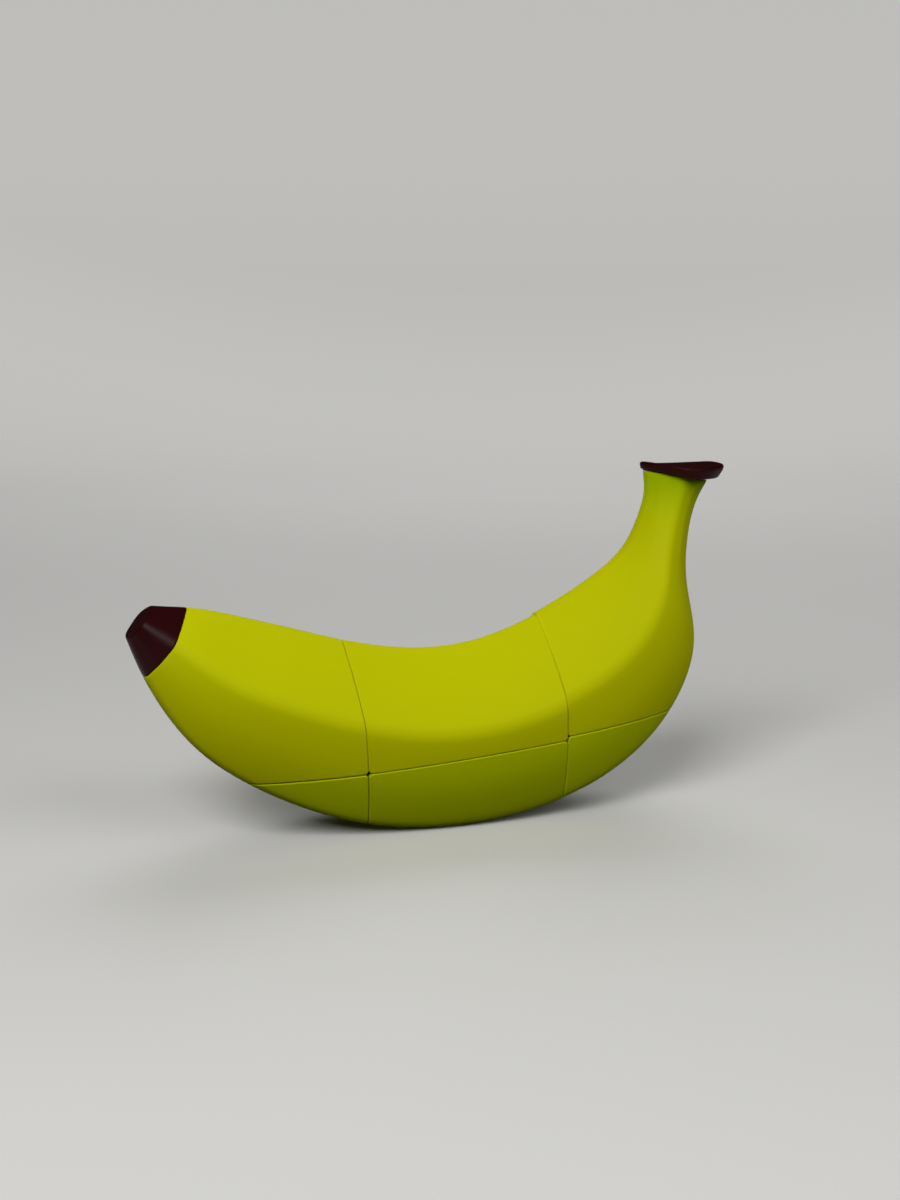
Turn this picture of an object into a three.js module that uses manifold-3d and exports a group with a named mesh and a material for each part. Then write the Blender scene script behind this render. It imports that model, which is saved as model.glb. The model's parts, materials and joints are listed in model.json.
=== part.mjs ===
// A banana-shaped twist puzzle of moulded plastic: two pieces deep, two high and three long.
// Both end layers turn about the long axis. Yellow skins are glued over black trays, and
// the trays hook into a ball-shaped mechanism of hidden edges and centres, screwed to a
// core with springs under the screw heads.
//
// Millimetres, +Z up, +X towards the stem, -Y towards the front. The origin is on the
// surface that the puzzle stands on, under the middle of its length. The mechanism has a
// frame of its own: its X is the turning axis, which climbs a little towards the stem, and
// its origin is the centre of the ball. Every solid is made in that frame.
import * as THREE from "three";
import { mergeVertices } from "three/addons/utils/BufferGeometryUtils.js";
import Module from "manifold-3d";

const wasm = await Module();
wasm.setup();

// The body's sections, from the tip's end face to the stem. Each crosses the fruit from a
// point on its top ridge to the middle of its belly: x and z of both points, half the
// width over the side ridges, how far down the section the side ridge runs, and how far
// the section bows towards the stem at its sides.
const SECTIONS = [
  [-78.5, 66.5, -85.4, 58.5, 6.5, 0.42, 0],
  [-68.8, 65.6, -81.5, 48.3, 11.9, 0.42, 0.8],
  [-56.3, 62.8, -71.6, 31.6, 17.3, 0.42, 0.4],
  [-41.6, 58.5, -55.1, 17.5, 20.6, 0.4, 0],
  [-27.0, 54.1, -33.8, 6.8, 22.1, 0.385, 0],
  [-5.1, 50.3, -5.7, 0.7, 22.8, 0.385, 0],
  [18.1, 53.3, 27.5, 3.4, 22.7, 0.39, 0],
  [36.8, 61.6, 54.3, 15.0, 21.5, 0.4, 0],
  [49.0, 68.9, 70.3, 31.7, 18.8, 0.39, 0],
  [55.5, 74.3, 76.1, 47.9, 15.2, 0.37, 0],
  [59.5, 80.3, 74.7, 62.8, 11.6, 0.41, 0],
  [62.0, 86.9, 75.0, 75.7, 9.4, 0.48, 0],
  [62.8, 92.6, 77.9, 87.8, 8.9, 0.53, 0],
  [62.3, 96.9, 81.1, 93.8, 9.9, 0.55, 0],
];
const TIP_BORDER = 1; // the section where the dark tip meets the yellow skin
// The stem's cap, from its underside to its top face, which flares out over the stem.
const CAP_SECTIONS = [
  [62.3, 97.2, 81.3, 94.1, 10.1, 0.55, 0],
  [62.0, 97.4, 82.8, 94.6, 12.5, 0.52, -1.1],
  [61.7, 97.9, 84.2, 95.7, 13.3, 0.49, -1.3],
  [61.6, 98.7, 85.2, 97.3, 13.5, 0.46, -1.3],
  [61.8, 99.4, 85.4, 98.6, 13.5, 0.45, -1.2],
];
const BELLY_SHARE = 0.55; // the belly ridges' half width as a share of the side ridges'
const RIDGE_SOFTNESS = 2.5; // how far a ridge's rounding reaches along each facet
const MOST_REACH = 0.44; // the most of a facet that one ridge's rounding takes
// How far each facet's middle stands out, as a share of its width, from the top round.
const FACET_BULGES = [0.055, 0.07, 0.035, 0.07, 0.055];
const OUTER = { stations: 36, ridgeSteps: 3 }; // how finely the lofts are cut into facets
const INNER = { stations: 23, ridgeSteps: 1 };
const ENDS_OUTER = { stations: 4, ridgeSteps: 3 };
const SPIGOT = { stations: 3, ridgeSteps: 1 };

// The three layers and what they turn on.
const AXIS_TILT = 4.8; // degrees that the turning axis climbs towards the stem
const BALL_CENTRE = [3.8, 0, 23];
const LAYER_CUT = 28.4; // from the ball's centre to each layer cut
const STEM_LAYER_TURN = -3; // degrees that the stem's layer stands round from true
const CLEARANCE = 0.2; // each piece keeps this far from a cut
const SKIN_WALL = 1.7;
const TRAY_WALL = 1.6;
const GLUE_GAP = 0.35; // between a skin and what is glued into it
const SPIGOT_LENGTH = 3.2; // how far the tip and the cap plug into the skins
const BALL_RADIUS = 14.2; // the hidden ball that the edges and centres fill
const SHELF_RADIUS = 10.4; // feet hook under their neighbours inside this radius
const CAP_HALF = 5.6; // half the middle slice's thickness outside the shelf
const FOOT_HALF = 3.2; // half its thickness inside the shelf
const BOSS_RADIUS = 11.8; // round boss that each end layer turns on
const BALL_SIDES = 20;
const BOSS_SIDES = 28;

// Screws and springs.
const SHANK_RADIUS = 0.9;
const SHANK_START = 1.4; // from the ball's centre
const HEAD_RADIUS = 1.9;
const HEAD_START = 11.2;
const HEAD_END = 12.7;
const RECESS = { length: 2.4, width: 0.5, depth: 0.7 };
const SCREW_HOLE_RADIUS = 1.3;
const COUNTERBORE_RADIUS = 2.4;
const COUNTERBORE_START = 6.8;
const SCREW_SIDES = 10;
const SPRING = { radius: 1.55, wire: 0.27, turns: 4, stepsPerTurn: 6, wireSides: 4 };

const FAR = 150; // well outside the body
const WELD_DISTANCE = 1e-4; // corners closer than this are one corner

const YELLOW = new THREE.MeshStandardMaterial({ color: 0xb4b800, roughness: 0.45 });
const MAROON = new THREE.MeshStandardMaterial({ color: 0x5a2830, roughness: 0.5 });
const BLACK = new THREE.MeshStandardMaterial({ color: 0x1c1c1e, roughness: 0.5 });
const STEEL = new THREE.MeshStandardMaterial({ color: 0xb9bcc0, roughness: 0.3, metalness: 1 });

// Solids --------------------------------------------------------------------------------

// A closed geometry as a solid that can be joined and cut.
function solidOf(geometry) {
  const bare = geometry.clone();
  bare.deleteAttribute("normal");
  bare.deleteAttribute("uv");
  const merged = mergeVertices(bare, WELD_DISTANCE);
  return new wasm.Manifold(
    new wasm.Mesh({
      numProp: 3,
      vertProperties: merged.attributes.position.array,
      triVerts: new Uint32Array(merged.index.array),
    }),
  );
}

function meshOf(name, solid, material) {
  const { vertProperties, triVerts } = solid.getMesh();
  const geometry = new THREE.BufferGeometry();
  geometry.setAttribute("position", new THREE.BufferAttribute(vertProperties, 3));
  geometry.setIndex(new THREE.BufferAttribute(triVerts, 1));
  geometry.computeVertexNormals();
  const mesh = new THREE.Mesh(geometry, material);
  mesh.name = name;
  return mesh;
}

// A box from its range along each axis. A range may run either way, so that a sign can
// turn a positive range into its mirror image.
function box(xRange, yRange, zRange) {
  const ranges = [xRange, yRange, zRange];
  const [width, depth, height] = ranges.map(([from, to]) => Math.abs(to - from));
  const [x, y, z] = ranges.map(([from, to]) => (from + to) / 2);
  return solidOf(new THREE.BoxGeometry(width, depth, height).translate(x, y, z));
}

const ball = (radius) => solidOf(new THREE.SphereGeometry(radius, BALL_SIDES, BALL_SIDES / 2));

// A round bar on the X axis.
function bar(radius, from, to, sides) {
  const geometry = new THREE.CylinderGeometry(radius, radius, to - from, sides);
  return solidOf(geometry.rotateZ(-Math.PI / 2).translate((from + to) / 2, 0, 0));
}

// The body ------------------------------------------------------------------------------

const radians = THREE.MathUtils.degToRad;
const mechanism = new THREE.Group();
mechanism.position.set(...BALL_CENTRE);
mechanism.rotation.y = -radians(AXIS_TILT);
mechanism.updateMatrix();
const TO_MECHANISM = mechanism.matrix.clone().invert();

// A natural cubic spline through rows of numbers, at the given knots.
function splineThrough(rows, knots) {
  const last = rows.length - 1;
  const bends = rows[0].map((_, column) => {
    const ratio = [0];
    const value = [0];
    for (let i = 1; i < last; i++) {
      const before = knots[i] - knots[i - 1];
      const after = knots[i + 1] - knots[i];
      const slopeChange =
        (rows[i + 1][column] - rows[i][column]) / after -
        (rows[i][column] - rows[i - 1][column]) / before;
      const pivot = 2 * (before + after) - before * ratio[i - 1];
      ratio.push(after / pivot);
      value.push((6 * slopeChange - before * value[i - 1]) / pivot);
    }
    const bend = new Array(last + 1).fill(0);
    for (let i = last - 1; i > 0; i--) bend[i] = value[i] - ratio[i] * bend[i + 1];
    return bend;
  });
  return (at) => {
    let i = knots.findIndex((knot, index) => index > 0 && knot >= at) - 1;
    if (i < 0) i = at > knots[0] ? last - 1 : 0;
    const step = knots[i + 1] - knots[i];
    const near = (knots[i + 1] - at) / step;
    const far = 1 - near;
    return rows[i].map((value, column) => {
      const bend = bends[column];
      const curve = (near ** 3 - near) * bend[i] + (far ** 3 - far) * bend[i + 1];
      return near * value + far * rows[i + 1][column] + (curve * step * step) / 6;
    });
  };
}

// Each section's distance along the line through the sections' middles.
function knotsOf(sections) {
  const knots = [0];
  for (let i = 1; i < sections.length; i++) {
    const [a, b] = [sections[i - 1], sections[i]];
    const middleX = (b[0] + b[2] - a[0] - a[2]) / 2;
    const middleZ = (b[1] + b[3] - a[1] - a[3]) / 2;
    knots.push(knots[i - 1] + Math.hypot(middleX, middleZ));
  }
  return knots;
}

// One section's outline as points in the mechanism's frame: a pentagon with a ridge on
// top, one on each side and two under the belly. Control points stand at each ridge, on
// either side of it and in the middle of each facet, and a smooth curve runs through the
// middles between them.
function outline([topX, topZ, bellyX, bellyZ, halfWidth, sideShare, bow], ridgeSteps) {
  const height = Math.hypot(bellyX - topX, bellyZ - topZ);
  const ridges = [
    [0, 0],
    [halfWidth, sideShare * height],
    [BELLY_SHARE * halfWidth, height],
    [-BELLY_SHARE * halfWidth, height],
    [-halfWidth, sideShare * height],
  ].map(([across, down]) => new THREE.Vector2(across, down));
  const controls = ridges.flatMap((ridge, i) => {
    const facet = ridges[(i + 1) % ridges.length].clone().sub(ridge);
    const outward = new THREE.Vector2(facet.y, -facet.x).multiplyScalar(FACET_BULGES[i]);
    const reach = Math.min((2 * RIDGE_SOFTNESS) / facet.length(), MOST_REACH);
    return [0, reach, 0.5, 1 - reach].map((share) =>
      ridge
        .clone()
        .addScaledVector(facet, share)
        .addScaledVector(outward, 4 * share * (1 - share)),
    );
  });
  const perFacet = controls.length / ridges.length;
  const points = controls.flatMap((control, i) => {
    const before = controls.at(i - 1).clone().lerp(control, 0.5);
    const after = controls[(i + 1) % controls.length].clone().lerp(control, 0.5);
    const steps = i % perFacet === 0 ? ridgeSteps : 1;
    const curve = new THREE.QuadraticBezierCurve(before, control, after);
    return curve.getPoints(steps).slice(0, -1);
  });
  const [downX, downZ] = [(bellyX - topX) / height, (bellyZ - topZ) / height];
  return points.map(({ x: across, y: down }) => {
    const ahead = bow * (across / halfWidth) ** 2;
    const x = topX + downX * down - downZ * ahead;
    const z = topZ + downZ * down + downX * ahead;
    return new THREE.Vector3(x, across, z).applyMatrix4(TO_MECHANISM);
  });
}

// A closed solid through the sections, from one distance along them to another, with its
// skin drawn in by inset.
function loft(sections, { stations, ridgeSteps }, from, to, inset = 0) {
  const at = splineThrough(sections, knotsOf(sections));
  const step = (to - from) / (stations - 1);
  const ringAt = (index) => outline(at(from + index * step), ridgeSteps);
  const rings = Array.from({ length: stations + 2 }, (_, i) => ringAt(i - 1));
  const size = rings[0].length;
  const positions = [];
  for (let i = 1; i <= stations; i++)
    for (let j = 0; j < size; j++) {
      const along = rings[i + 1][j].clone().sub(rings[i - 1][j]);
      const round = rings[i][(j + 1) % size].clone().sub(rings[i][(j + size - 1) % size]);
      const outward = along.cross(round).normalize();
      positions.push(...rings[i][j].clone().addScaledVector(outward, -inset));
    }
  const indices = [];
  for (let i = 0; i < stations - 1; i++)
    for (let j = 0; j < size; j++) {
      const [a, b] = [i * size + j, i * size + ((j + 1) % size)];
      indices.push(a, b + size, b, a, a + size, b + size);
    }
  const lastRing = (stations - 1) * size;
  for (let j = 1; j < size - 1; j++) {
    indices.push(0, j, j + 1);
    indices.push(lastRing, lastRing + j + 1, lastRing + j);
  }
  const geometry = new THREE.BufferGeometry();
  geometry.setAttribute("position", new THREE.Float32BufferAttribute(positions, 3));
  geometry.setIndex(indices);
  return solidOf(geometry);
}

const BODY_KNOTS = knotsOf(SECTIONS);
const TIP_AT = BODY_KNOTS[TIP_BORDER];
const STEM_AT = BODY_KNOTS.at(-1);
const OVERRUN = 2; // how far the hollow runs past the skins' open ends
const HOLLOW_START = TIP_AT - OVERRUN;
const HOLLOW_END = STEM_AT + OVERRUN;
const INNER_STEP = (HOLLOW_END - HOLLOW_START) / (INNER.stations - 1);
const LINING_INSET = SKIN_WALL + GLUE_GAP;

const body = loft(SECTIONS, OUTER, TIP_AT, STEM_AT);
const hollow = loft(SECTIONS, INNER, HOLLOW_START, HOLLOW_END, SKIN_WALL);
const belowGround = solidOf(
  new THREE.BoxGeometry(2 * FAR, 2 * FAR, FAR)
    .translate(0, 0, -FAR / 2)
    .applyMatrix4(TO_MECHANISM),
);
const shell = body.subtract(hollow).subtract(belowGround);
// The trays' outside keeps the hollow's stations, one step in from both of its ends.
const lining = loft(
  SECTIONS,
  { ...INNER, stations: INNER.stations - 2 },
  HOLLOW_START + INNER_STEP,
  HOLLOW_END - INNER_STEP,
  LINING_INSET,
);

// Cells ---------------------------------------------------------------------------------

const ENDS = { left: -1, right: 1 };
const LEVELS = { top: 1, bottom: -1 };
const SIDES = { front: -1, back: 1 };

// What lies more than margin beyond both lengthwise cuts, on the given side and level.
const quarter = (side, level, margin, xRange) =>
  box(xRange, [side * margin, side * FAR], [level * margin, level * FAR]);

const endRange = (end, margin) => [end * (LAYER_CUT + margin), end * FAR];
const middleRange = (margin) => [-LAYER_CUT + margin, LAYER_CUT - margin];

// A tray's foot inside the ball: a head outside the shelf, a pad that hooks under the
// neighbours' heads inside it, and a stalk that joins the two. Each has its range in x.
function foot(side, level, { head, stalk, pad }, radius) {
  const above = (xRange) => quarter(side, level, CAP_HALF + CLEARANCE, xRange);
  return above(head)
    .subtract(ball(SHELF_RADIUS + CLEARANCE))
    .add(above(stalk))
    .intersect(ball(radius))
    .add(
      quarter(side, level, FOOT_HALF + CLEARANCE, pad).intersect(ball(SHELF_RADIUS - CLEARANCE)),
    );
}

// Walls along the cuts, open towards the skin.
function endTray(end, side, level) {
  const wallInside = CLEARANCE + TRAY_WALL;
  const walls = lining
    .intersect(quarter(side, level, CLEARANCE, endRange(end, CLEARANCE)))
    .subtract(quarter(side, level, wallInside, endRange(end, wallInside)));
  const bossEnd = LAYER_CUT + CLEARANCE + TRAY_WALL;
  const bossStart = BALL_RADIUS + CLEARANCE + TRAY_WALL;
  const [low, high] = end > 0 ? [0, bossEnd] : [-bossEnd, 0];
  const boss = bar(BOSS_RADIUS - CLEARANCE, low, high, BOSS_SIDES)
    .intersect(quarter(side, level, CLEARANCE, [0, end * FAR]))
    .subtract(ball(BALL_RADIUS + CLEARANCE));
  const bossPocket = bar(BOSS_RADIUS - wallInside, -FAR, FAR, BOSS_SIDES).intersect(
    quarter(side, level, wallInside, [end * bossStart, end * FAR]),
  );
  const neckStart = end * (CAP_HALF + CLEARANCE);
  const neck = bar(BOSS_RADIUS - CLEARANCE, -FAR, FAR, BOSS_SIDES).intersect(
    quarter(side, level, CAP_HALF + CLEARANCE, [neckStart, end * bossStart]),
  );
  const beyondNeck = [neckStart, end * FAR];
  const beyondPad = [end * (FOOT_HALF + CLEARANCE), end * FAR];
  const hook = foot(
    side,
    level,
    { head: beyondNeck, stalk: beyondNeck, pad: beyondPad },
    BALL_RADIUS - CLEARANCE,
  );
  return walls.add(boss).subtract(bossPocket).add(neck).add(hook);
}

function middleTray(side, level) {
  const wallInside = CLEARANCE + TRAY_WALL;
  const room = (margin) =>
    quarter(side, level, margin, middleRange(margin))
      .subtract(bar(BOSS_RADIUS + margin, -FAR, FAR, BOSS_SIDES))
      .subtract(ball(BALL_RADIUS + margin));
  const walls = lining.intersect(room(CLEARANCE)).subtract(room(wallInside));
  const within = (half) => [CLEARANCE - half, half - CLEARANCE];
  const hook = foot(
    side,
    level,
    { head: within(CAP_HALF), stalk: within(FOOT_HALF), pad: within(FOOT_HALF) },
    BALL_RADIUS + CLEARANCE + TRAY_WALL / 2,
  );
  return walls.add(hook);
}

// The mechanism's own pieces, each made once on the X axis and then turned into place.
function centre() {
  const [stalkHalf, capHalf] = [FOOT_HALF - CLEARANCE, CAP_HALF - CLEARANCE];
  const inBall = ball(BALL_RADIUS - CLEARANCE);
  const square = (half, start) => box([start, FAR], [-half, half], [-half, half]);
  const stalk = square(stalkHalf, FOOT_HALF + CLEARANCE).intersect(inBall);
  const cap = square(capHalf, CAP_HALF + CLEARANCE)
    .intersect(inBall)
    .subtract(ball(SHELF_RADIUS + CLEARANCE));
  return stalk
    .add(cap)
    .subtract(bar(SCREW_HOLE_RADIUS, 0, FAR, SCREW_SIDES))
    .subtract(bar(COUNTERBORE_RADIUS, COUNTERBORE_START, FAR, SCREW_SIDES));
}

// Between the layers +X and +Y, with the same head, stalk and pad as a tray's foot.
function hiddenEdge() {
  const slab = (start, half) =>
    box([start + CLEARANCE, FAR], [start + CLEARANCE, FAR], [CLEARANCE - half, half - CLEARANCE]);
  return slab(CAP_HALF, CAP_HALF)
    .subtract(ball(SHELF_RADIUS + CLEARANCE))
    .add(slab(CAP_HALF, FOOT_HALF))
    .intersect(ball(BALL_RADIUS - CLEARANCE))
    .add(slab(FOOT_HALF, FOOT_HALF).intersect(ball(SHELF_RADIUS - CLEARANCE)));
}

function core() {
  const half = FOOT_HALF - CLEARANCE;
  const hole = bar(SCREW_HOLE_RADIUS, -FAR, FAR, SCREW_SIDES);
  return box([-half, half], [-half, half], [-half, half])
    .subtract(hole)
    .subtract(hole.rotate([0, 0, 90]))
    .subtract(hole.rotate([0, 90, 0]));
}

function screw() {
  const profile = [
    [0, SHANK_START],
    [SHANK_RADIUS, SHANK_START],
    [SHANK_RADIUS, HEAD_START],
    [HEAD_RADIUS, HEAD_START],
    [HEAD_RADIUS, HEAD_END],
    [0, HEAD_END],
  ].map(([radius, along]) => new THREE.Vector2(radius, along));
  const turned = solidOf(new THREE.LatheGeometry(profile, SCREW_SIDES).rotateZ(-Math.PI / 2));
  const [long, wide] = [RECESS.length / 2, RECESS.width / 2];
  const reach = [HEAD_END - RECESS.depth, FAR];
  return turned
    .subtract(box(reach, [-long, long], [-wide, wide]))
    .subtract(box(reach, [-wide, wide], [-long, long]));
}

class Helix extends THREE.Curve {
  constructor(radius, from, to, turns) {
    super();
    Object.assign(this, { radius, from, to, turns });
  }

  getPoint(t, target = new THREE.Vector3()) {
    const angle = 2 * Math.PI * this.turns * t;
    const along = THREE.MathUtils.lerp(this.from, this.to, t);
    return target.set(along, this.radius * Math.cos(angle), this.radius * Math.sin(angle));
  }
}

function spring() {
  const { radius, wire, turns, stepsPerTurn, wireSides } = SPRING;
  const room = wire + GLUE_GAP;
  const helix = new Helix(radius, COUNTERBORE_START + room, HEAD_START - room, turns);
  const section = new THREE.Shape();
  for (let i = 0; i < wireSides; i++) {
    const angle = (2 * Math.PI * i) / wireSides;
    const [x, y] = [wire * Math.cos(angle), wire * Math.sin(angle)];
    if (i) section.lineTo(x, y);
    else section.moveTo(x, y);
  }
  const steps = turns * stepsPerTurn;
  return solidOf(
    new THREE.ExtrudeGeometry(section, { steps, extrudePath: helix, bevelEnabled: false }),
  );
}

// Assembly ------------------------------------------------------------------------------

const stemLayer = new THREE.Group();
stemLayer.rotation.x = radians(STEM_LAYER_TURN);
mechanism.add(stemLayer);
const layerGroup = (end) => (end === "right" ? stemLayer : mechanism);

for (const [level, levelSign] of Object.entries(LEVELS))
  for (const [side, sideSign] of Object.entries(SIDES)) {
    const place = level + "_" + side;
    for (const [end, endSign] of Object.entries(ENDS)) {
      const cell = quarter(sideSign, levelSign, CLEARANCE, endRange(endSign, CLEARANCE));
      const skin = shell.intersect(cell);
      const tray = endTray(endSign, sideSign, levelSign);
      layerGroup(end).add(meshOf("skin_" + end + "_" + place, skin, YELLOW));
      layerGroup(end).add(meshOf("tray_" + end + "_" + place, tray, BLACK));
    }
    const cell = quarter(sideSign, levelSign, CLEARANCE, middleRange(CLEARANCE));
    mechanism.add(meshOf("skin_middle_" + place, shell.intersect(cell), YELLOW));
    mechanism.add(meshOf("tray_middle_" + place, middleTray(sideSign, levelSign), BLACK));
  }

// The dark tip and the stem's cap, each in two halves that plug into the skins.
const spigot = (from, to) => loft(SECTIONS, SPIGOT, from, to, LINING_INSET);
const SPIGOT_ROOT = 1; // how far a spigot starts inside what carries it
const TIP_END = TIP_AT - GLUE_GAP;
const tip = loft(SECTIONS, ENDS_OUTER, 0, TIP_END).add(
  spigot(TIP_END - SPIGOT_ROOT, TIP_AT + SPIGOT_LENGTH),
);
const cap = loft(CAP_SECTIONS, ENDS_OUTER, 0, knotsOf(CAP_SECTIONS).at(-1)).add(
  spigot(STEM_AT - SPIGOT_LENGTH, STEM_AT + SPIGOT_ROOT),
);
for (const [side, sideSign] of Object.entries(SIDES)) {
  const half = quarter(sideSign, LEVELS.top, CLEARANCE, [-FAR, FAR]);
  mechanism.add(meshOf("tip_" + side, tip.intersect(half), MAROON));
  stemLayer.add(meshOf("stem_cap_" + side, cap.intersect(half), MAROON));
}

// Turns about the long axis that take +Y to each side, in degrees.
const AROUND = { back: 0, top: 90, front: 180, bottom: 270 };
const edgeSolid = hiddenEdge();
for (const end of Object.keys(ENDS))
  for (const [side, angle] of Object.entries(AROUND)) {
    const edge = meshOf("edge_" + end + "_" + side, edgeSolid, BLACK);
    edge.rotation.set(radians(angle), end === "left" ? Math.PI : 0, 0);
    layerGroup(end).add(edge);
  }

// Turns that take +X to each face of the ball.
const FACES = {
  right: [0, 0, 0],
  left: [0, 0, 180],
  back: [0, 0, 90],
  front: [0, 0, -90],
  top: [0, -90, 0],
  bottom: [0, 90, 0],
};
const [centreSolid, screwSolid, springSolid] = [centre(), screw(), spring()];
for (const [face, angles] of Object.entries(FACES)) {
  const pieces = [
    meshOf("centre_" + face, centreSolid, BLACK),
    meshOf("screw_" + face, screwSolid, STEEL),
    meshOf("spring_" + face, springSolid, STEEL),
  ];
  for (const piece of pieces) {
    piece.rotation.set(...angles.map(radians));
    const turnsWithStem = piece.name === "centre_right";
    (turnsWithStem ? stemLayer : mechanism).add(piece);
  }
}
mechanism.add(meshOf("core", core(), BLACK));

const puzzle = new THREE.Group();
puzzle.add(mechanism);

export default puzzle;
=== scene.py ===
"""Banana-shaped twist puzzle, dressed over its solid frame.

Fine skins with rounded seams, the dark tip and stem cap, the screws and springs of the mechanism, and
the finish of every piece. Objects are in metres, +Z up, +X towards the stem, -Y towards the front. A
size without MM is in millimetres. The mechanism has a frame of its own: its X is the turning axis, and
its origin is the centre of the ball that both end layers turn on. Every piece is made there and then
placed.
"""
import json
import math

import bmesh
import bpy
import numpy as np
from bpy.props import FloatProperty, FloatVectorProperty, IntProperty, PointerProperty
from bpy.types import Operator, Panel, PropertyGroup
from mathutils import Matrix, Vector


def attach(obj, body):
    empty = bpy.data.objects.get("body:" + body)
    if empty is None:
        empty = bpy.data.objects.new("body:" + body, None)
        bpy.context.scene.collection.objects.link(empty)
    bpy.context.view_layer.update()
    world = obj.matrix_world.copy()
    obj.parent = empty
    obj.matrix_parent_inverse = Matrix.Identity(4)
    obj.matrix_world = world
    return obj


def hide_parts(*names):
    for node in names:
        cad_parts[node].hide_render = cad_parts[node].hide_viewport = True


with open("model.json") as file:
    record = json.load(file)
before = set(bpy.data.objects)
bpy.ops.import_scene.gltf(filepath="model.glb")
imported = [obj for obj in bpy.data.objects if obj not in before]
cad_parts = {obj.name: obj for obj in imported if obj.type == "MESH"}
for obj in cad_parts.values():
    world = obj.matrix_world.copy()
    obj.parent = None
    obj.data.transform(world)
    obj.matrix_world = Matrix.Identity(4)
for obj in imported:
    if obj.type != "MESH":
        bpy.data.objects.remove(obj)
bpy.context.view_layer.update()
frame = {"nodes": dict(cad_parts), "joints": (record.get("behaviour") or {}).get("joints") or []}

bl_info = {
    "name": "Banana Twist Puzzle",
    "version": (1, 0, 0),
    "blender": (4, 5, 0),
    "location": "View3D > Sidebar > Puzzle",
    "description": "Builds a banana-shaped twist puzzle over its solid frame",
    "category": "Add Mesh",
}

MM = 0.001

# The body's sections, from the tip's end face to the stem. Each crosses the fruit from a point on its
# top ridge to the middle of its belly: x and z of both points, half the width over the side ridges, how
# far down the section the side ridge runs, as a share, and how far its sides bow towards the stem.
SECTIONS = [
    (-78.5, 66.5, -85.4, 58.5, 6.5, 0.42, 0),
    (-68.8, 65.6, -81.5, 48.3, 11.9, 0.42, 0.8),
    (-56.3, 62.8, -71.6, 31.6, 17.3, 0.42, 0.4),
    (-41.6, 58.5, -55.1, 17.5, 20.6, 0.4, 0),
    (-27.0, 54.1, -33.8, 6.8, 22.1, 0.385, 0),
    (-5.1, 50.3, -5.7, 0.7, 22.8, 0.385, 0),
    (18.1, 53.3, 27.5, 3.4, 22.7, 0.39, 0),
    (36.8, 61.6, 54.3, 15.0, 21.5, 0.4, 0),
    (49.0, 68.9, 70.3, 31.7, 18.8, 0.39, 0),
    (55.5, 74.3, 76.1, 47.9, 15.2, 0.37, 0),
    (59.5, 80.3, 74.7, 62.8, 11.6, 0.41, 0),
    (62.0, 86.9, 75.0, 75.7, 9.4, 0.48, 0),
    (62.8, 92.6, 77.9, 87.8, 8.9, 0.53, 0),
    (62.3, 96.9, 81.1, 93.8, 9.9, 0.55, 0),
]
TIP_BORDER = 1  # the section where the dark tip meets the yellow skin
# The stem's cap, from its underside to its top face, which flares out over the stem.
CAP_SECTIONS = [
    (62.3, 97.2, 81.3, 94.1, 10.1, 0.55, 0),
    (62.0, 97.4, 82.8, 94.6, 12.5, 0.52, -1.1),
    (61.7, 97.9, 84.2, 95.7, 13.3, 0.49, -1.3),
    (61.6, 98.7, 85.2, 97.3, 13.5, 0.46, -1.3),
    (61.8, 99.4, 85.4, 98.6, 13.5, 0.45, -1.2),
]
BELLY_SHARE = 0.55  # the belly ridges' half width as a share of the side ridges'
RIDGE_SOFTNESS = 2.5  # how far a ridge's rounding reaches along each facet
MOST_REACH = 0.44  # the most of a facet that one ridge's rounding takes
SLOPE_STEP = 0.2  # how far either side of a ring its slope is taken
# How far each facet's middle stands out, as a share of its width, from the top round.
FACET_BULGES = np.array([0.055, 0.07, 0.035, 0.07, 0.055])
CONTROLS_PER_FACET = 4
RIDGE_STEPS, FACET_STEPS = 9, 5  # points on the curve of a ridge's control and of any other control
LAYER_CUT = 28.4  # from the ball's centre to each layer cut
STEM_LAYER_TURN = -3  # degrees that the stem's layer stands round from true
GLUE_GAP = 0.35  # between a skin and what is glued into it
SPIGOT_LENGTH = 3.2  # how far the tip and the cap plug into the skins
HOLLOW_DEPTH = 2.05  # from the skin's outside to what is plugged into it
TIP_RINGS, CAP_RINGS = 12, 11  # along the tip and up the cap's wall, between their roundings
ROOT_SHRINK = (0.6, 0.2)  # the rings that close a spigot's root, as shares of its width
CUT_TOLERANCE = 0.004  # a corner as near as this to a cut is taken as on it
SMOOTH_UP_TO = 50  # degrees past which a skin's edge stays sharp

LEVELS = {"top": 1, "bottom": -1}
SIDES = {"front": -1, "back": 1}
LAYERS = {"left": "tip_layer", "middle": "middle_layer", "right": "stem_layer"}


def linear(colour):
    """An sRGB hex colour as the linear red, green, blue and alpha that shaders take."""
    parts = [int(colour[i : i + 2], 16) / 255 for i in (0, 2, 4)]
    return [p / 12.92 if p <= 0.04045 else ((p + 0.055) / 1.055) ** 2.4 for p in parts] + [1.0]


# Settings -------------------


def size_setting(name, description, millimetres):
    """A size that the panel shows."""
    return FloatProperty(name=name, description=description, default=millimetres * MM, unit="LENGTH")


def colour_setting(name, description, hex_colour):
    """A colour that the panel shows."""
    return FloatVectorProperty(
        name=name, description=description, subtype="COLOR", size=4, default=linear(hex_colour)
    )


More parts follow.
